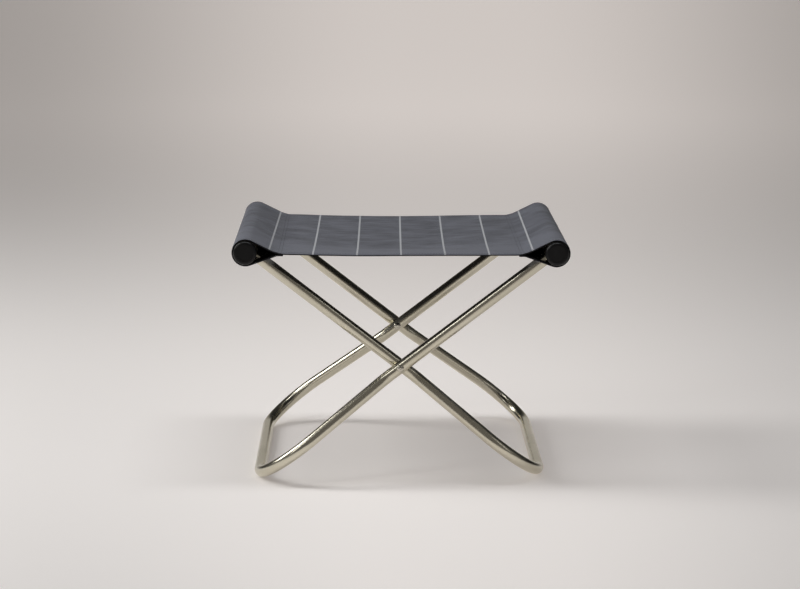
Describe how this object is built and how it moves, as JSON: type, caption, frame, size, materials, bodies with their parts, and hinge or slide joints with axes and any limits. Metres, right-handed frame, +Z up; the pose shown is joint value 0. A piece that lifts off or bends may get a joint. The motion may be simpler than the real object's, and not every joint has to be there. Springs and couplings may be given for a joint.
{
  "type": "folding camp stool",
  "caption": "Folding stool: two crossed bent-tube frames on a common pivot axis, a striped cloth sling between two rails with round end caps.",
  "frame": {"origin": "on the floor, under the middle of the stool, half way between the two folding pivots", "axes": "+X across the seat towards the right rail, +Y from front to back, +Z up"},
  "size_m": [0.5008, 0.4864, 0.3685],
  "materials": {
    "leg_tube": "satin nickel-coloured tube with long soft reflections",
    "rail_tube": "satin tube, hidden by the cloth",
    "cap_plastic": "black moulded plastic with a soft sheen",
    "nylon": "black nylon",
    "fastener": "satin steel",
    "seat_cloth": "grey woven cloth with thin pale stripes, black backing"
  },
  "bodies": {
    "right_frame": {"right_leg_frame": "leg_tube", "right_rail": "rail_tube", "right_front_cap": "cap_plastic", "right_rear_cap": "cap_plastic", "right_front_insert": "nylon", "right_rear_insert": "nylon", "right_front_rail_screw": "fastener", "right_rear_rail_screw": "fastener", "front_pivot_screw": "fastener", "front_pivot_barrel": "fastener", "front_spacer": "nylon", "right_sleeve": "seat_cloth", "seat_panel": "seat_cloth"},
    "left_frame": {"left_leg_frame": "leg_tube", "left_rail": "rail_tube", "left_front_cap": "cap_plastic", "left_rear_cap": "cap_plastic", "left_front_insert": "nylon", "left_rear_insert": "nylon", "left_front_rail_screw": "fastener", "left_rear_rail_screw": "fastener", "rear_pivot_screw": "fastener", "rear_pivot_barrel": "fastener", "rear_spacer": "nylon", "left_sleeve": "seat_cloth"}
  },
  "joints": [
    {"name": "fold", "type": "hinge", "parent": "right_frame", "child": "left_frame", "pos_m": [0, 0, 0.1712], "axis": [0, 1, 0], "range_deg": [0, 90], "deforming": ["seat_panel"]}
  ]
}
